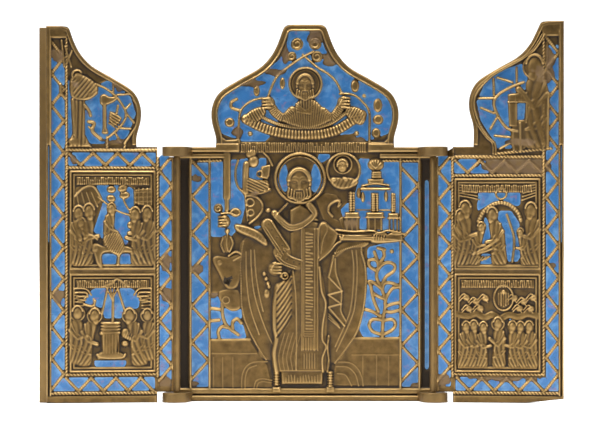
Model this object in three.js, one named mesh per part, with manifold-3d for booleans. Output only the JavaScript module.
// Folding altarpiece of cast brass: a central leaf and two wings that stand open on their feet.
// Leaf coordinates are x to the right, y up from the foot and z out of the picture side.

import * as THREE from "three";
import { mergeVertices } from "three/addons/utils/BufferGeometryUtils.js";
import Module from "manifold-3d";

const wasm = await Module();
wasm.setup();

// Leaves, in millimetres
const SHOULDER_HEIGHT = 96.5;
const PLATE_THICKNESS = 2.3;
const WING_THICKNESS = 2.3;
const WING_REACH = 48.7;
const MEETING_GAP = 0.4;
const CREST_HEIGHT = 46.6;
const CREST_HALF_WIDTH = 35.5;
const LEFT_CREST_HEIGHT = 45.2;
const RIGHT_CREST_HEIGHT = 47.1;
const RIGHT_CREST_LIFT = 3.6;
const CREST_RIM_WIDTH = 2.1;

// Height of the carving above the ground of each leaf
const CENTRE_CARVING = 2;
const WING_CARVING = 1.4;
const RIB_HEIGHT = 1;
const RIB_WIDTH = 0.9;
const BAR_HEIGHT = 0.7;
const BAR_WIDTH = 1;
const SINK = 0.3;
const CROSS_STEP = 0.07;

// Half size of a block that cuts away everything on one side of a plane
const HUGE = 500;

// Hinges
const PIN_DIAMETER = 1.6;
const BARREL_DIAMETER = 3.5;
const EAR_RADIUS = 5.1;
const EAR_HEIGHT = 3.6;
const EAR_ROOT = 6.3;
const PIN_DEPTH = 6;
const RUNNING_GAP = 0.3;
const CLOSING_GAP = 0.5;
const NOTCH_WIDTH = 7;
const OPEN_SWING = 6;

// Closing lip behind the outer edge of the left wing
const LIP_OVERLAP = 2.6;
const LIP_SEAT = 3.4;
const LIP_THICKNESS = 0.9;

// Borders, measured from the nearest edge or from the hinge
const TOP_BAR = 4.2;
const FOOT_BAR = 4.2;
const CENTRE_STRIP_WIDTH = 6.4;
const CENTRE_STRIP_BARS = 12;
const CENTRE_SIDE_MARGIN = 4.9;
const WING_INNER_STRIP = [1.9, 6.1];
const WING_OUTER_STRIP = [41.9, 46.5];
const WING_FOOT_STRIP = [4.2, 9.3];
const WING_SIDE_BARS = 22;
const WING_INNER_BARS = 14;
const WING_CROSS_BARS = 7;
const PANEL_SIDES = [8, 39.6];
const PANEL_FRAME = 0.9;
const PANEL_SPLIT = 49.4;
const PANEL_GAP = 1.1;

// Figures and buildings on the central leaf
const SAINT_HEIGHT = 79;
const SAINT_FOOT = [0, 11.4];
const HALO_RADIUS = 9.3;
const MEDALLION_RADIUS = 6.6;
const CHURCH_HEIGHT = 25;
const WALL_HEIGHT = 18;
const BUST_SPAN = 40;
const DAMAGE_HOLE = [-30, 45.8, 1.1];

// What follows from the sizes above
const HINGE_X = WING_REACH + MEETING_GAP / 2;
const HINGE_DEPTH = CENTRE_CARVING + WING_CARVING + WING_THICKNESS / 2 + CLOSING_GAP;
const CENTRE_HALF_WIDTH = HINGE_X;
const BORE_RADIUS = PIN_DIAMETER / 2 + RUNNING_GAP;
const NOTCH_HEIGHT = EAR_HEIGHT + RUNNING_GAP;
const STRIP_OUTER = CENTRE_HALF_WIDTH - CENTRE_SIDE_MARGIN - RIB_WIDTH;
const STRIP_INNER = STRIP_OUTER - CENTRE_STRIP_WIDTH;
const WING_GROUND = WING_THICKNESS / 2;

// Half of the crest outline, as shares of its half width and height
const CREST_PROFILE = [
  [0.955, 0], [0.955, 0.08], [1, 0.22], [0.99, 0.34], [0.909, 0.449], [0.711, 0.547],
  [0.487, 0.645], [0.364, 0.742], [0.294, 0.84], [0.235, 0.96], [0.2, 1],
];

const brass = { color: 0x8a6a38, roughness: 0.42, metalness: 0.9 };
const pinBrass = { color: 0xa88348, roughness: 0.3, metalness: 0.95 };

// Closed three.js geometry as a solid that can be joined and cut
function solid(geometry) {
  geometry.deleteAttribute("normal");
  geometry.deleteAttribute("uv");
  const merged = mergeVertices(geometry, 1e-4);
  return new wasm.Manifold(new wasm.Mesh({
    numProp: 3,
    vertProperties: new Float32Array(merged.attributes.position.array),
    triVerts: new Uint32Array(merged.index.array),
  }));
}

// Solids joined into one
function join(solids) {
  return solids.flat(Infinity).reduce((whole, next) => whole.add(next));
}

// Box between two corners
function block(x0, x1, y0, y1, z0, z1) {
  const box = new THREE.BoxGeometry(Math.abs(x1 - x0), y1 - y0, z1 - z0);
  return solid(box.translate((x0 + x1) / 2, (y0 + y1) / 2, (z0 + z1) / 2));
}

// Flat outline raised from z0 to z1
function slab(outline, z0, z1) {
  const shape = new THREE.Shape(outline.map(([x, y]) => new THREE.Vector2(x, y)));
  const raised = new THREE.ExtrudeGeometry(shape, { depth: z1 - z0, bevelEnabled: false });
  return solid(raised.translate(0, 0, z0));
}

// Outline with sloping sides, rising out of the ground to a flat top
function mound(outline, ground, rise, slope = 0.5) {
  const shape = new THREE.Shape(outline.map(([x, y]) => new THREE.Vector2(x, y)));
  const raised = new THREE.ExtrudeGeometry(shape, {
    depth: SINK, bevelEnabled: true, bevelSegments: 1,
    bevelThickness: rise + SINK, bevelSize: slope, bevelOffset: -slope,
  });
  return solid(raised.translate(0, 0, ground - SINK * 2)).intersect(
    block(-HUGE, HUGE, -HUGE, HUGE, ground - SINK, ground + HUGE));
}

// Smooth closed outline through a few points
function smooth(points, count) {
  const curve = new THREE.CatmullRomCurve3(points.map(([x, y]) => new THREE.Vector3(x, y, 0)), true);
  return curve.getSpacedPoints(count).slice(0, count).map((point) => [point.x, point.y]);
}

// Straight ridge from a to b, flat on top where crown is above 0
function bar(a, b, ground, width = BAR_WIDTH, rise = BAR_HEIGHT, crown = 0) {
  const half = width / 2;
  const foot = half * (1 + SINK / rise * (1 - crown));
  const top = crown > 0 ? [[half * crown, rise], [-half * crown, rise]] : [[0, rise]];
  const section = new THREE.Shape([[-foot, -SINK], [foot, -SINK], ...top]
    .map(([x, y]) => new THREE.Vector2(x, y)));
  const along = new THREE.Vector3(b[0] - a[0], b[1] - a[1], 0);
  const length = along.length();
  const up = new THREE.Vector3(0, 0, 1);
  along.normalize();
  const across = new THREE.Vector3().crossVectors(up, along);
  const ridge = new THREE.ExtrudeGeometry(section, { depth: length, bevelEnabled: false });
  ridge.applyMatrix4(new THREE.Matrix4().makeBasis(across, up, along).setPosition(a[0], a[1], ground));
  return solid(ridge);
}

// Flat-topped band of even width that follows a line of points
function band(line, ground, width, rise) {
  const points = line.map(([x, y]) => new THREE.Vector2(x, y));
  const edges = [[], []];
  points.forEach((point, index) => {
    const before = points[Math.max(index - 1, 0)];
    const after = points[Math.min(index + 1, points.length - 1)];
    const into = point.clone().sub(before).normalize();
    const away = after.clone().sub(point).normalize();
    const along = into.clone().add(away).normalize();
    const straight = index > 0 && index < points.length - 1 ? along.dot(away) : 1;
    const offset = new THREE.Vector2(-along.y, along.x).multiplyScalar(width / 2 / straight);
    edges[0].push([point.x + offset.x, point.y + offset.y]);
    edges[1].unshift([point.x - offset.x, point.y - offset.y]);
  });
  return slab([...edges[0], ...edges[1]], ground - SINK, ground + rise);
}

// Band along a smooth open curve
function curvedRib(points, ground, steps, width = RIB_WIDTH, rise = RIB_HEIGHT) {
  const curve = new THREE.SplineCurve(points.map(([x, y]) => new THREE.Vector2(x, y)));
  return band(curve.getSpacedPoints(steps).map((point) => [point.x, point.y]), ground, width, rise);
}

// Ring lying on the ground
function ring(x, y, radius, ground, width = RIB_WIDTH, rise = RIB_HEIGHT, sides = 12) {
  const hoop = new THREE.TorusGeometry(radius, width / 2, 4, sides);
  hoop.scale(1, 1, (rise + CROSS_STEP) / (width / 2));
  return solid(hoop.translate(x, y, ground - CROSS_STEP));
}

// Rounded boss such as a head, leaf or hand, turned by an angle
function boss(x, y, halfWidth, halfHeight, ground, rise, turn = 0, sides = 6) {
  const ball = new THREE.SphereGeometry(1, sides, sides / 2);
  ball.rotateX(Math.PI / 2);
  ball.scale(halfWidth, halfHeight, rise + CROSS_STEP);
  return solid(ball.rotateZ(turn).translate(x, y, ground - CROSS_STEP));
}

// Zigzag of bars that fills the strip from a to b
function zigzag(a, b, width, count, ground) {
  const along = new THREE.Vector2(b[0] - a[0], b[1] - a[1]);
  const across = new THREE.Vector2(-along.y, along.x).normalize().multiplyScalar(width / 2);
  const corner = (index) => {
    const side = index % 2 === 0 ? 1 : -1;
    return [
      a[0] + along.x * index / count + across.x * side,
      a[1] + along.y * index / count + across.y * side,
    ];
  };
  return band(Array.from({ length: count + 1 }, (_, index) => corner(index)), ground, BAR_WIDTH * 0.8,
    BAR_HEIGHT);
}

// Row of short upright strokes, where the real leaf has words
function strokeRow(x0, x1, y, height, ground, count) {
  const pitch = (x1 - x0) / count;
  return Array.from({ length: count }, (_, index) => {
    const x = x0 + pitch * (index + 0.5);
    return bar([x, y], [x, y + height], ground, pitch * 0.55, 0.35);
  });
}

// Frame of four ribs
function frame(x0, x1, y0, y1, ground, width, rise) {
  const reach = width * 0.45;
  return [
    bar([x0, y0], [x1, y0], ground, width, rise - CROSS_STEP, 0.5),
    bar([x0, y1], [x1, y1], ground, width, rise - CROSS_STEP, 0.5),
    bar([x0, y0 - reach], [x0, y1 + reach], ground, width, rise, 0.5),
    bar([x1, y0 - reach], [x1, y1 + reach], ground, width, rise, 0.5),
  ];
}

// Small robed figure: foot at (x, y), turned by lean, looking left or right
function person(x, y, height, ground, { lean = 0, facing = 1, halo = false, kneel = 0,
  plain = false } = {}) {
  const cos = Math.cos(lean);
  const sin = Math.sin(lean);
  const at = ([across, up]) => [
    x + height * (facing * across * cos + up * sin),
    y + height * (up * cos - facing * across * sin),
  ];
  const robe = [
    [-0.15, 0], [0.15, 0], [0.15 + kneel, 0.5], [0.06, 0.82], [-0.07, 0.82], [-0.17, 0.6],
  ].map(at);
  const head = at([0.01, 0.9]);
  const pieces = [
    mound(robe, ground, WING_CARVING * 0.6, 0.35),
    boss(head[0], head[1], height * 0.075, height * 0.1, ground, WING_CARVING),
  ];
  if (!plain) {
    pieces.push(
      bar(at([-0.04, 0]), at([-0.02, 0.64]), ground, height * 0.08, WING_CARVING * 0.85),
      bar(at([-0.1, 0.66]), at([0.2, 0.5]), ground, height * 0.09, WING_CARVING),
    );
  }
  if (halo) {
    const rim = Array.from({ length: 7 }, (_, step) => [
      head[0] + height * 0.15 * Math.cos(step * Math.PI * 2 / 7),
      head[1] + height * 0.15 * Math.sin(step * Math.PI * 2 / 7),
    ]);
    pieces.push(slab(rim, ground - SINK, ground + WING_CARVING * 0.35));
  }
  return pieces;
}

// Right half of a crest outline, from its foot up to the finial
function crestHalf(height, lift) {
  const points = CREST_PROFILE.map(([wide, high]) =>
    new THREE.Vector2(wide * CREST_HALF_WIDTH, SHOULDER_HEIGHT + Math.min(high * CREST_HEIGHT + lift,
      height)));
  points[0].y = SHOULDER_HEIGHT;
  return new THREE.SplineCurve(points).getPoints(18)
    .filter((point) => point.y <= SHOULDER_HEIGHT + height)
    .map((point) => [point.x, point.y]);
}

// The outline moved inwards by a margin, for the raised rim
function insetCrest(half, margin) {
  return half.map(([x, y], index) => {
    const before = half[Math.max(index - 1, 0)];
    const after = half[Math.min(index + 1, half.length - 1)];
    const length = Math.hypot(after[0] - before[0], after[1] - before[1]);
    return [
      x - margin * (after[1] - before[1]) / length,
      y + margin * (after[0] - before[0]) / length,
    ];
  });
}

// Saint with sword and church, in shares of the figure's height from the middle of its feet
function saint() {
  const at = ([across, up]) => [
    SAINT_FOOT[0] + across * SAINT_HEIGHT, SAINT_FOOT[1] + up * SAINT_HEIGHT,
  ];
  const carve = CENTRE_CARVING;
  const fold = (a, b, width, rise) => bar(at(a), at(b), 0, width * SAINT_HEIGHT, rise * carve);
  const cloak = smooth([
    [-0.26, 0.64], [-0.31, 0.5], [-0.31, 0.32], [-0.27, 0.17], [-0.19, 0.05], [-0.1, 0],
    [0.1, 0], [0.19, 0.06], [0.25, 0.2], [0.29, 0.36], [0.28, 0.52], [0.24, 0.63], [0.05, 0.7],
    [-0.1, 0.7],
  ].map(at), 18);
  const robe = [
    [-0.15, -0.01], [0.15, -0.01], [0.14, 0.2], [0.13, 0.4], [0.16, 0.6], [0.14, 0.72],
    [0.06, 0.78], [-0.08, 0.78], [-0.14, 0.72], [-0.16, 0.58], [-0.12, 0.45], [-0.15, 0.3],
    [-0.145, 0.15],
  ].map(at);
  const pieces = [
    mound(cloak, 0, carve * 0.25),
    mound(robe, 0, carve * 0.6),
  ];
  const rim = smooth([
    [-0.26, 0.62], [-0.3, 0.5], [-0.3, 0.33], [-0.26, 0.18], [-0.17, 0.06],
    [0.17, 0.06], [0.24, 0.21], [0.28, 0.36], [0.27, 0.52], [0.235, 0.62],
  ].map(at), 24);
  pieces.push(band(rim.slice(0, 10), 0, RIB_WIDTH, carve * 0.45));
  pieces.push(band(rim.slice(13, 22), 0, RIB_WIDTH, carve * 0.45));

  // Stole down the middle, with its edges, strokes and fringe
  pieces.push(slab([[-0.015, 0.12], [0.072, 0.12], [0.072, 0.68], [-0.015, 0.68]].map(at), -SINK,
    carve * 0.75));
  for (let step = 0; step < 6; step += 1) {
    const up = 0.2 + step * 0.075;
    pieces.push(bar(at([0.005, up]), at([0.052, up]), 0, 1.1, carve * 0.9, 0.5));
  }
  for (let step = 0; step < 4; step += 1) {
    const across = -0.004 + step * 0.022;
    pieces.push(bar(at([across, 0.06]), at([across, 0.12]), 0, 0.7, carve * 0.75));
  }

  // Shawl over the shoulders, crossing to the stole
  for (const side of [-1, 1]) {
    pieces.push(mound([
      [side * 0.15, 0.73], [side * 0.09, 0.79], [side * 0.03, 0.66], [side * 0.005, 0.55],
      [side * 0.06, 0.6],
    ].map(at), 0, carve * 0.85, 0.4));
  }

  // Folds of the robe: slanting on the left, in zigzags under the right arm
  for (let step = 0; step < 5; step += 1) {
    const up = 0.14 + step * 0.062;
    pieces.push(fold([-0.135, up], [-0.04, up + 0.085], 0.02, 0.85));
  }
  const drapery = Array.from({ length: 7 }, (_, step) =>
    at([step % 2 ? 0.19 : 0.11, 0.52 - step * 0.035]));
  pieces.push(band(drapery, 0, 1.3, carve * 0.75));
  pieces.push(fold([0.105, 0.02], [0.105, 0.42], 0.014, 0.8));

  // Raised arm with the sword, and level arm with the church on a cloth
  pieces.push(mound([
    [-0.11, 0.66], [-0.16, 0.6], [-0.33, 0.69], [-0.31, 0.735], [-0.2, 0.7], [-0.12, 0.76],
  ].map(at), 0, carve * 0.8));
  for (let step = 0; step < 2; step += 1) {
    const across = -0.28 + step * 0.07;
    const up = 0.7 - step * 0.022;
    pieces.push(fold([across, up - 0.015], [across + 0.012, up + 0.03], 0.016, 0.95));
  }
  const hand = at([-0.345, 0.74]);
  pieces.push(boss(hand[0], hand[1], 2, 2.4, 0, carve * 0.9));
  const blade = at([-0.35, 0.78]);
  pieces.push(bar(blade, [blade[0], SHOULDER_HEIGHT - TOP_BAR], 0, 2.6, carve * 0.6, 0.4));
  for (const side of [-1, 1]) {
    pieces.push(ring(blade[0] + side * 3.2, blade[1] - 0.6, 1.5, 0, 1, carve * 0.6, 8));
  }
  pieces.push(mound([
    [0.12, 0.74], [0.18, 0.655], [0.46, 0.665], [0.46, 0.69], [0.33, 0.7], [0.2, 0.71],
  ].map(at), 0, carve * 0.85));
  pieces.push(mound([
    [0.17, 0.65], [0.36, 0.66], [0.33, 0.63], [0.24, 0.61], [0.16, 0.57],
  ].map(at), 0, carve * 0.6));

  // Bundle at the hip and the open halo with the head
  const bundle = at([-0.1, 0.5]);
  pieces.push(boss(bundle[0], bundle[1], 4.2, 3.6, 0, carve * 0.9));
  const head = at([-0.015, 0.9]);
  pieces.push(ring(head[0], head[1] + 2, HALO_RADIUS, 0, 1.3, carve * 0.6, 20));
  pieces.push(boss(head[0], head[1], 3.7, 5, 0, carve, 0, 10));
  pieces.push(mound([[-0.1, 0.76], [0.08, 0.76], [0.05, 0.81], [-0.07, 0.81]].map(at), 0, carve * 0.7));
  return pieces;
}

// Church of three towers, standing on the cloth
function church() {
  const ground = SAINT_FOOT[1] + SAINT_HEIGHT * 0.69;
  const tower = (x, base, height, width) => {
    const up = (share) => base + height * share;
    return [
      slab([[x - width / 2, base], [x + width / 2, base], [x + width / 2, up(0.16)],
        [x - width / 2, up(0.16)]], -SINK, 1.3),
      slab([[x - width / 4, up(0.1)], [x + width / 4, up(0.1)], [x + width / 4, up(0.55)],
        [x - width / 4, up(0.55)]], -SINK, 1),
      bar([x - width / 2, up(0.56)], [x + width / 2, up(0.56)], 0, height * 0.08, 1.4, 0.4),
      boss(x, up(0.72), width * 0.28, height * 0.14, 0, 1.5),
      bar([x, up(0.8)], [x, up(1)], 0, 0.8, 1.1),
    ];
  };
  return [
    tower(26.2, ground, CHURCH_HEIGHT, 11),
    tower(17, ground, CHURCH_HEIGHT * 0.56, 6),
    tower(34, ground, CHURCH_HEIGHT * 0.56, 5),
  ];
}

// Haloed half figure in a round medallion
function medallion(x, y, radius) {
  return [
    ring(x, y, radius, 0, 1, 1.1, 16),
    boss(x, y + radius * 0.38, radius * 0.26, radius * 0.36, 0, 1.7),
    mound([
      [x - radius * 0.6, y - radius * 0.7], [x + radius * 0.6, y - radius * 0.7],
      [x + radius * 0.6, y - radius * 0.1], [x + radius * 0.2, y + radius * 0.15],
      [x - radius * 0.2, y + radius * 0.15], [x - radius * 0.6, y - radius * 0.1],
    ], 0, 1.1),
  ];
}

// Climbing plant with paired leaves
function vine(x, y0, y1, pairs, reach) {
  const pieces = [bar([x, y0], [x, y1], 0, 0.9, 0.7)];
  for (let pair = 0; pair < pairs; pair += 1) {
    const y = y0 + (y1 - y0) * (pair + 0.15) / pairs;
    for (const side of [-1, 1]) {
      pieces.push(curvedRib([
        [x, y], [x + side * reach * 0.55, y - 0.8], [x + side * reach, y + 1.8],
        [x + side * reach * 0.7, y + 4], [x + side * reach * 0.4, y + 2.6],
      ], 0, 4, 0.9, 0.7));
    }
  }
  return pieces;
}

// Crest of the central leaf: a bust over a swag of cloud, under two arcs
function crestPicture() {
  const foot = SHOULDER_HEIGHT;
  const head = foot + 25.6;
  const half = BUST_SPAN / 2;
  const pieces = [
    ring(0, head, 5.8, 0, 1, 1.2, 14),
    boss(0, head - 0.6, 2.5, 3.4, 0, 1.9, 0, 8),
    mound([[-5, foot + 12], [5, foot + 12], [6, foot + 19], [2, foot + 22], [-2, foot + 22],
      [-6, foot + 19]], 0, 1.4),
    bar([0, foot + 12.5], [0, foot + 21], 0, 2.4, 1.8, 0.4),
  ];
  for (const side of [-1, 1]) {
    pieces.push(mound([
      [side * 4, foot + 13], [side * 5, foot + 20], [side * 10, foot + 16.5],
      [side * 14, foot + 17.5], [side * 15, foot + 14.5], [side * 9, foot + 12],
    ], 0, 1.3));
    pieces.push(curvedRib([
      [0, foot + 34], [side * 7, foot + 33], [side * 12, foot + 28], [side * 13.5, foot + 21],
      [side * 12, foot + 17],
    ], 0, 7, 1, 1));
    pieces.push(bar([side * 5, foot + 39.5], [0, foot + 34], 0, 1, 1));
    pieces.push(bar([side * 24.4, foot + 3.4], [side * 24.4, foot + 14], 0, 1, 1));
    pieces.push(curvedRib([
      [side * 24.4, foot + 13], [side * 26.5, foot + 17.5], [side * 22.5, foot + 20],
      [side * 19.5, foot + 17],
    ], 0, 5, 0.9, 0.9));
    for (const [x, y] of [[5.4, 35.4], [18.5, 22.6], [28, 17.2], [28, 10]]) {
      pieces.push(boss(side * x, foot + y, 1.5, 1.8, 0, 1.2));
    }
    for (let lobe = 0; lobe < 3; lobe += 1) {
      const across = side * (3.4 + lobe * half / 3);
      pieces.push(boss(across, foot + 6.8 + lobe * 2, 3.3, 3.4, 0, 1.5, side * 0.5));
    }
  }
  return pieces;
}

// Town wall behind the saint, with arches
function townWall() {
  const pieces = [];
  const base = FOOT_BAR + 0.6;
  for (const side of [-1, 1]) {
    pieces.push(slab([
      [side * 20, base], [side * (STRIP_INNER - RIB_WIDTH), base],
      [side * (STRIP_INNER - RIB_WIDTH), base + WALL_HEIGHT], [side * 23, base + WALL_HEIGHT],
    ], -SINK, 0.4));
    pieces.push(bar([side * 23, base + WALL_HEIGHT], [side * STRIP_INNER, base + WALL_HEIGHT], 0,
      0.9, 0.8));
    for (const radius of [3.4, 6.2]) {
      pieces.push(curvedRib([0, 1, 2, 3, 4].map((step) => {
        const turn = Math.PI * step / 4;
        return [side * 17.5 - Math.cos(turn) * radius, base + 2 + Math.sin(turn) * radius * 1.2];
      }), 0, 5, 0.8, 1));
    }
    for (const x of [26.5, 29.5, 32.5]) {
      pieces.push(bar([side * x, base + 1], [side * x, base + WALL_HEIGHT - 2], 0, 0.7, 0.7));
    }
  }
  return pieces;
}

// Footstool with beaded posts
function footstool() {
  const [x, y] = SAINT_FOOT;
  const pieces = [slab([[x - 9.5, y - 5.4], [x + 9.5, y - 5.4], [x + 9.5, y - 0.4], [x - 9.5, y - 0.4]],
    -SINK, 1.1)];
  for (const side of [-1, 1]) {
    for (let bead = 0; bead < 2; bead += 1) {
      pieces.push(boss(x + side * 10.9, y - 4.2 + bead * 2.6, 1.1, 1.2, 0, 1.4));
    }
  }
  return pieces;
}

// Level plate between two heights, from an outline of x and z
function levelPlate(outline, y0, y1) {
  const shape = new THREE.Shape(outline.map(([x, z]) => new THREE.Vector2(x, z)));
  const plate = new THREE.ExtrudeGeometry(shape, { depth: y1 - y0, bevelEnabled: false });
  return solid(plate.rotateX(Math.PI / 2).translate(0, y1, 0));
}

// Round bar along y
function rod(x, z, radius, y0, y1, sides = 14) {
  const bare = new THREE.CylinderGeometry(radius, radius, y1 - y0, sides);
  return solid(bare.translate(x, (y0 + y1) / 2, z));
}

// Ear of the central leaf: it leaves the plate level and is rounded about the hinge pin
function ear(side, foot) {
  const back = -PLATE_THICKNESS;
  const round = Array.from({ length: 15 }, (_, step) => {
    const turn = Math.PI * (0.92 - 1.14 * step / 14);
    return [
      side * (HINGE_X + EAR_RADIUS * Math.cos(turn)), HINGE_DEPTH + EAR_RADIUS * Math.sin(turn),
    ];
  });
  return levelPlate([
    [side * (HINGE_X - EAR_ROOT), back], [side * (HINGE_X - EAR_ROOT), 0.5], ...round,
    [side * CENTRE_HALF_WIDTH, back],
  ], foot, foot + EAR_HEIGHT);
}

// Central leaf, cast in one piece
function centralLeaf() {
  const half = crestHalf(CREST_HEIGHT, 0);
  const inner = insetCrest(half, CREST_RIM_WIDTH);
  const mirrored = (line) => [...line, ...line.map(([x, y]) => [-x, y]).reverse()];
  const shoulder = SHOULDER_HEIGHT;
  const crest = slab(mirrored([[half[0][0], shoulder - 1], ...half]), -PLATE_THICKNESS, RIB_HEIGHT)
    .subtract(slab(mirrored([[inner[0][0], shoulder - 0.1], ...inner.slice(1)]), 0, RIB_HEIGHT + 1));
  const pieces = [
    block(-CENTRE_HALF_WIDTH, CENTRE_HALF_WIDTH, 0, shoulder, -PLATE_THICKNESS, 0),
    crest,
    block(-CENTRE_HALF_WIDTH, CENTRE_HALF_WIDTH, shoulder - TOP_BAR, shoulder, -1, CENTRE_CARVING * 0.8),
    block(-CENTRE_HALF_WIDTH, CENTRE_HALF_WIDTH, 0, FOOT_BAR, -1, CENTRE_CARVING * 0.8),
    strokeRow(-23, 23, shoulder + 0.2, 2.6, 0, 9),
    bar([-23, shoulder + 3.4], [23, shoulder + 3.4], 0, 0.8, 0.8),
  ];
  for (const side of [-1, 1]) {
    const middle = side * (STRIP_INNER + STRIP_OUTER) / 2;
    const outerRib = side * (STRIP_OUTER + RIB_WIDTH / 2);
    const innerRib = side * (STRIP_INNER - RIB_WIDTH / 2);
    const low = FOOT_BAR + 1.6;
    const high = shoulder - TOP_BAR - 2.8;
    pieces.push(zigzag([middle, low], [middle, high], CENTRE_STRIP_WIDTH, CENTRE_STRIP_BARS, 0));
    pieces.push(bar([outerRib, FOOT_BAR - SINK], [outerRib, shoulder - TOP_BAR + SINK], 0, RIB_WIDTH,
      RIB_HEIGHT, 0.5));
    pieces.push(bar([innerRib, FOOT_BAR - SINK], [innerRib, high + 1], 0, RIB_WIDTH, RIB_HEIGHT, 0.5));
    pieces.push(bar([innerRib, high + 1], [outerRib, high + 1], 0, RIB_WIDTH, RIB_HEIGHT, 0.5));
    pieces.push(ear(side, 0), ear(side, shoulder - EAR_HEIGHT));
  }
  const wallTop = FOOT_BAR + 0.6 + WALL_HEIGHT;
  pieces.push(
    crestPicture(), townWall(), saint(), church(), footstool(),
    medallion(-19.8, 87, MEDALLION_RADIUS), medallion(14.3, 87, MEDALLION_RADIUS * 0.9),
    vine(29.6, wallTop, wallTop + 34, 3, 6), vine(-30.5, wallTop, wallTop + 12, 1, 5.5),
    boss(-30, 54, 2.6, 3.4, 0, 1.4), boss(-14, 73, 1.1, 1.1, 0, 1.6),
    curvedRib([[-21, 79.5], [-16.5, 77], [-16, 72], [-19.5, 70]], 0, 8, 1.1, 1.2),
    curvedRib([[10, 79], [15, 76], [15, 71.5], [11.5, 72.5]], 0, 8, 1.1, 1.2),
  );
  let leaf = join(pieces);
  for (const side of [-1, 1]) {
    leaf = leaf.subtract(rod(side * HINGE_X, HINGE_DEPTH, BORE_RADIUS, -1, shoulder + 1));
  }
  const [holeX, holeY, holeRadius] = DAMAGE_HOLE;
  const worn = [[-1, 0.2], [-0.3, 1.5], [0.8, 1.2], [1, -0.3], [0.4, -1.4], [-0.7, -1]];
  return leaf.subtract(slab(worn.map(([x, y]) => [holeX + x * holeRadius, holeY + y * holeRadius]),
    -PLATE_THICKNESS - 1, CENTRE_CARVING + 1));
}

// Point of a wing panel: across from its middle, up from its lower edge
function panelPlace(side, foot) {
  const middle = side * (PANEL_SIDES[0] + PANEL_SIDES[1]) / 2;
  return ([across, up]) => [middle + across, foot + up];
}

// Rider on a donkey between two groups, under a tree
function entryPanel(at) {
  const ground = WING_GROUND;
  const stand = (across, up, height, options) => person(...at([across, up]), height, ground, options);
  const donkey = [[-8, 8.5], [-3, 9.5], [3, 9], [7, 10.5], [9.5, 7.5], [7.5, 5.5], [5, 6.5],
    [4.5, 1.5], [3, 1.5], [2.5, 5.5], [-4, 5], [-4.5, 1], [-7, 1], [-7.5, 5]].map(at);
  return [
    mound(donkey, ground, WING_CARVING * 0.7, 0.25),
    stand(-1.2, 7.5, 14, { facing: 1, kneel: 0.1 }),
    stand(-13, 1, 21.5, { plain: true }), stand(-10, 1, 20, { lean: 0.05, plain: true }),
    stand(9.4, 1, 20, { facing: -1, lean: -0.05, plain: true }),
    stand(13.2, 1, 21, { facing: -1, plain: true }),
    block(at([8.4, 0])[0], at([13.6, 0])[0], at([0, 24.5])[1], at([0, 30])[1], 0, ground + 0.8),
    bar(at([0.5, 19]), at([1.5, 28]), ground, 0.8, 0.7),
    [[-1.6, 29.8], [2.9, 30], [-0.8, 26.2], [4.8, 27]].map((leaf) =>
      boss(...at(leaf), 1.9, 1.4, ground, 1.1)),
    curvedRib([[-14.5, 27.5], [-10, 30], [-6, 27.5], [-5, 22.5]].map(at), ground, 5, 1, 0.9),
  ];
}

// Two pairs of haloed figures leaning to an altar under a canopy
function templePanel(at) {
  const ground = WING_GROUND;
  const stand = (across, up, height, options) => person(...at([across, up]), height, ground, options);
  return [
    mound([[-6, 4], [3.4, 4], [2.4, 6], [2.4, 17.6], [-4.8, 17.6], [-4.8, 6]].map(at), ground,
      WING_CARVING, 0.4),
    [7.5, 10.5, 13.5].map((up) => bar(at([-4.6, up]), at([2.2, up]), ground, 0.8, 1.7, 0.4)),
    bar(at([-1.1, 17]), at([-1.1, 30]), ground, 1.2, 0.9),
    bar(at([-4.4, 20]), at([-2.4, 30]), ground, 0.9, 0.8),
    bar(at([3.6, 20]), at([0.4, 30]), ground, 0.9, 0.8),
    stand(-13.2, 2, 20, { halo: true, plain: true }),
    stand(-10.6, 2, 20.5, { lean: 0.16, halo: true, kneel: 0.06 }),
    stand(10.4, 2, 20.5, { facing: -1, lean: -0.2, halo: true, kneel: 0.06 }),
    stand(13.2, 2, 20.5, { facing: -1, halo: true, plain: true }),
    boss(...at([5, 14]), 1.6, 1.9, ground, 1.3),
    curvedRib([[-14.5, 24], [-13, 29], [-8, 30.5]].map(at), ground, 4, 1, 0.8),
    curvedRib([[14.5, 24], [13, 29], [8, 30.5]].map(at), ground, 4, 1, 0.8),
  ];
}

// Figure under an arch reaching down to a kneeling pair, with groups at both sides
function archPanel(at) {
  const ground = WING_GROUND;
  const stand = (across, up, height, options) => person(...at([across, up]), height, ground, options);
  return [
    ring(...at([-0.2, 27.6]), 1.9, ground, 0.8, 0.9, 12),
    curvedRib([[-6.6, 17], [-4.6, 22], [0, 24.4], [4.6, 22], [6.6, 17]].map(at), ground, 8, 1.1, 1),
    stand(0.6, 1, 21, { facing: -1, lean: -0.08, halo: true }),
    bar(at([0, 13.5]), at([-8.4, 8.6]), ground, 1.6, 1.3, 0.5),
    bar(at([-2, 6.5]), at([-8, 3.6]), ground, 1.4, 0.9, 0.5),
    stand(-9.6, 1, 15.5, { lean: 0.08, plain: true }), stand(-12.8, 1, 22.5, { plain: true }),
    stand(11.2, 1, 21.5, { facing: -1 }), stand(8.4, 1, 12.5, { facing: -1, plain: true }),
  ];
}

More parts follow.
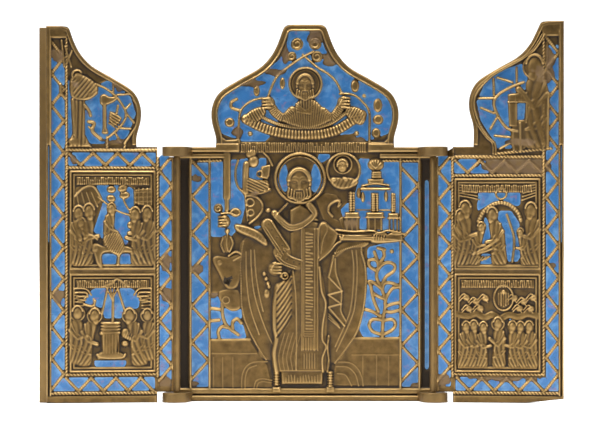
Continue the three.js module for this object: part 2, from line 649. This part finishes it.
// Oval glory carried over a row of standing figures
function gloryPanel(at) {
  const ground = WING_GROUND;
  const [x, y] = at([0.8, 26]);
  const glory = new THREE.TorusGeometry(1, 0.13, 4, 14);
  glory.scale(3.6, 4.8, 7);
  return [
    solid(glory.translate(x, y, ground)),
    person(x, y - 4, 7.6, ground, { plain: true }),
    [-12, -7.6, 7.8, 12.2].map((across) => boss(...at([across, 25.6]), 2, 2.6, ground, 1.2)),
    curvedRib([[-15, 20.6], [-9, 21.6], [-4, 20.2], [0, 19.6], [5, 20.4], [10, 21.6], [15, 20.6]]
      .map(at), ground, 7, 1, 0.9),
    [-12.6, -9, -5.2, 0, 5.2, 9, 12.6].map((across, index) =>
      person(...at([across, 1.2]), index === 3 ? 17.4 : 16.2, ground,
        { facing: across > 0 ? -1 : 1, lean: across * -0.006, plain: index !== 3 })),
  ];
}

// Crest of a wing: a standing figure at the outer edge, a table and an arc with rays
function wingCrestPicture(side, half, raised) {
  const ground = WING_GROUND;
  const foot = SHOULDER_HEIGHT;
  const inner = insetCrest(half, CREST_RIM_WIDTH + 4.4).slice(3, 15)
    .map(([x, y]) => [side * (WING_REACH - x), y]);
  const rim = insetCrest(half, CREST_RIM_WIDTH - 0.3).slice(3, 15)
    .map(([x, y]) => [side * (WING_REACH - x), y]);
  const pieces = [
    band(inner, ground, 0.9, 0.9),
    person(side * (WING_REACH - 11.5), foot + 2.6, 30, ground, { facing: -side, halo: raised }),
    slab([[20, 3.4], [28, 3.4], [27, 5.4], [27, 12], [28.6, 14], [20.4, 14], [21.6, 12], [21.6, 5.4]]
      .map(([x, y]) => [side * (WING_REACH - x), foot + y]), ground - SINK, ground + 0.9),
    boss(side * (WING_REACH - 24.4), foot + 16.6, 2, 2.6, ground, 1.2),
    bar([side * (WING_REACH - 18), foot + 2.6], [side * (WING_REACH - 18), foot + 17], ground, 1, 0.9),
    bar([side * (WING_REACH - 31), foot + 2.4], [side * (WING_REACH - 6), foot + 2.4], ground, 0.9, 0.9),
  ];
  for (let ray = 1; ray < inner.length - 1; ray += 2) {
    const root = [(inner[ray][0] + inner[ray + 1][0]) / 2, (inner[ray][1] + inner[ray + 1][1]) / 2];
    pieces.push(bar(root, rim[ray], ground, 0.9, BAR_HEIGHT));
  }
  return pieces;
}

// Wing with its hinge edge on x = 0, reaching outwards on the given side
function wing(side, { crestHeight, lift, topStrip, panels, wornCorner }) {
  const out = (x) => side * x;
  const half = crestHalf(crestHeight, lift);
  const front = WING_GROUND;
  const crestLine = half.map(([x, y]) => [out(WING_REACH - x), y]);
  const innerLine = insetCrest(half, CREST_RIM_WIDTH).slice(1)
    .map(([x, y]) => [out(WING_REACH - x), y]);
  const shoulder = SHOULDER_HEIGHT;
  const tip = half[half.length - 1][1];
  const crest = slab([[out(WING_REACH), shoulder - 1], [out(WING_REACH), tip], ...crestLine.reverse(),
    [crestLine[crestLine.length - 1][0], shoulder - 1]], -front, front + RIB_HEIGHT)
    .subtract(slab([[out(WING_REACH - 1.2), shoulder], [out(WING_REACH - 1.2), tip - 3.5],
      ...innerLine.filter(([, y]) => y < tip - 3.5).reverse(),
      [innerLine[0][0], shoulder]], front, front + RIB_HEIGHT + 1));
  const rib = (a, b, lower = 0) =>
    bar([out(a[0]), a[1]], [out(b[0]), b[1]], front, RIB_WIDTH, RIB_HEIGHT - lower, 0.5);
  const strip = (a, b, width, count) =>
    zigzag([out(a[0]), a[1]], [out(b[0]), b[1]], width, count, front);
  const [innerFrom, innerTo] = WING_INNER_STRIP;
  const [outerFrom, outerTo] = WING_OUTER_STRIP;
  const [footFrom, footTo] = WING_FOOT_STRIP;
  const [topFrom, topTo] = topStrip;
  const ropeIn = innerTo + 0.8;
  const ropeOut = outerFrom - 0.8;
  const pieces = [
    slab([[0, NOTCH_HEIGHT], [NOTCH_WIDTH, NOTCH_HEIGHT], [NOTCH_WIDTH, 0],
      [WING_REACH - wornCorner[0], 0], [WING_REACH, wornCorner[1]], [WING_REACH, shoulder],
      [NOTCH_WIDTH, shoulder], [NOTCH_WIDTH, shoulder - NOTCH_HEIGHT], [0, shoulder - NOTCH_HEIGHT]]
      .map(([x, y]) => [out(x), y]), -front, front),
    crest,
    rod(0, 0, BARREL_DIAMETER / 2, NOTCH_HEIGHT, shoulder - NOTCH_HEIGHT, 14),
    strip([(innerFrom + innerTo) / 2, 10], [(innerFrom + innerTo) / 2, shoulder - 6],
      innerTo - innerFrom, WING_INNER_BARS),
    strip([(outerFrom + outerTo) / 2, 5], [(outerFrom + outerTo) / 2, shoulder + 33],
      outerTo - outerFrom, WING_SIDE_BARS),
    strip([ropeIn + 1, (footFrom + footTo) / 2], [ropeOut, (footFrom + footTo) / 2],
      footTo - footFrom, WING_CROSS_BARS),
    strip([ropeIn + 1, (topFrom + topTo) / 2], [ropeOut, (topFrom + topTo) / 2],
      topTo - topFrom, WING_CROSS_BARS),
    rib([ropeIn, footTo + 1.1], [ropeIn, shoulder - 1]),
    rib([ropeOut, footTo + 1.1], [ropeOut, shoulder + 28]),
    rib([ropeIn, footTo + 1.4], [ropeOut, footTo + 1.4], CROSS_STEP),
    rib([ropeIn, topFrom - 0.9], [ropeOut, topFrom - 0.9], CROSS_STEP),
    rib([NOTCH_WIDTH + 0.5, footFrom - 0.7], [WING_REACH - 2, footFrom - 0.7], CROSS_STEP),
    rib([NOTCH_WIDTH + 0.5, topTo + 0.9], [ropeOut, topTo + 0.9], CROSS_STEP),
    rib([WING_REACH - 0.9, 2.4], [WING_REACH - 0.9, shoulder + 1], CROSS_STEP),
    wingCrestPicture(side, half, side > 0),
  ];
  const [panelIn, panelOut] = PANEL_SIDES;
  const spans = [[PANEL_SPLIT + PANEL_GAP, topFrom - 2.2], [footTo + 2.6, PANEL_SPLIT - PANEL_GAP]];
  spans.forEach(([low, high], index) => {
    const sides = [out(panelIn), out(panelOut)].sort((a, b) => a - b);
    pieces.push(frame(sides[0], sides[1], low, high, front, PANEL_FRAME, RIB_HEIGHT));
    pieces.push(strokeRow(sides[0] + 2, sides[1] - 2, high - 3.6, 2.4, front, 6));
    pieces.push(panels[index](panelPlace(side, low)));
  });
  let leaf = join(pieces);
  for (const foot of [NOTCH_HEIGHT - 1, shoulder - NOTCH_HEIGHT - PIN_DEPTH - RUNNING_GAP]) {
    leaf = leaf.subtract(rod(0, 0, BORE_RADIUS, foot, foot + PIN_DEPTH + RUNNING_GAP + 1));
  }
  return leaf;
}

// Lip behind the outer edge of the left wing, which covers the edge of the right wing when closed
function closingLip(side) {
  const back = -WING_GROUND;
  const seat = back - RUNNING_GAP - LIP_THICKNESS;
  return levelPlate([
    [side * (WING_REACH - LIP_SEAT), back + SINK], [side * (WING_REACH - LIP_SEAT), seat],
    [side * (WING_REACH + LIP_OVERLAP), seat], [side * (WING_REACH + LIP_OVERLAP), back - RUNNING_GAP],
    [side * WING_REACH, back - RUNNING_GAP], [side * WING_REACH, back + SINK],
  ], 0, SHOULDER_HEIGHT + LEFT_CREST_HEIGHT - 0.4);
}

// Solid as a named mesh
function mesh(name, body, finish) {
  const { vertProperties, triVerts, numProp } = body.getMesh();
  const geometry = new THREE.BufferGeometry();
  const places = new Float32Array(vertProperties.length / numProp * 3);
  for (let vertex = 0; vertex < places.length / 3; vertex += 1) {
    places.set(vertProperties.subarray(vertex * numProp, vertex * numProp + 3), vertex * 3);
  }
  geometry.setAttribute("position", new THREE.BufferAttribute(places, 3));
  geometry.setIndex(new THREE.BufferAttribute(new Uint32Array(triVerts), 1));
  geometry.computeVertexNormals();
  const piece = new THREE.Mesh(geometry, new THREE.MeshStandardMaterial(finish));
  piece.name = name;
  return piece;
}

// Wing turned about its hinge pins to where it stands
function hungWing(name, side, body) {
  const hung = new THREE.Group();
  hung.position.set(side * HINGE_X, 0, HINGE_DEPTH);
  hung.rotation.y = -side * THREE.MathUtils.degToRad(OPEN_SWING);
  hung.add(mesh(name, body, brass));
  return hung;
}

const altarpiece = new THREE.Group();
altarpiece.rotation.x = Math.PI / 2;
altarpiece.add(mesh("central_leaf", centralLeaf(), brass));

altarpiece.add(hungWing("left_wing", -1, wing(-1, {
  crestHeight: LEFT_CREST_HEIGHT, lift: 0, topStrip: [89.3, 94.2],
  panels: [entryPanel, templePanel], wornCorner: [4, 0.4],
}).add(closingLip(-1))));
altarpiece.add(hungWing("right_wing", 1, wing(1, {
  crestHeight: RIGHT_CREST_HEIGHT, lift: RIGHT_CREST_LIFT, topStrip: [86.4, 91.6],
  panels: [archPanel, gloryPanel], wornCorner: [14.6, 1.6],
})));

for (const [sideName, side] of [["left", -1], ["right", 1]]) {
  const pinLength = EAR_HEIGHT + PIN_DEPTH - RUNNING_GAP;
  for (const [endName, foot] of [
    ["bottom", RUNNING_GAP], ["top", SHOULDER_HEIGHT - RUNNING_GAP - pinLength],
  ]) {
    const pin = rod(side * HINGE_X, HINGE_DEPTH, PIN_DIAMETER / 2, foot, foot + pinLength);
    altarpiece.add(mesh(`hinge_pin_${sideName}_${endName}`, pin, pinBrass));
  }
}

export default altarpiece;
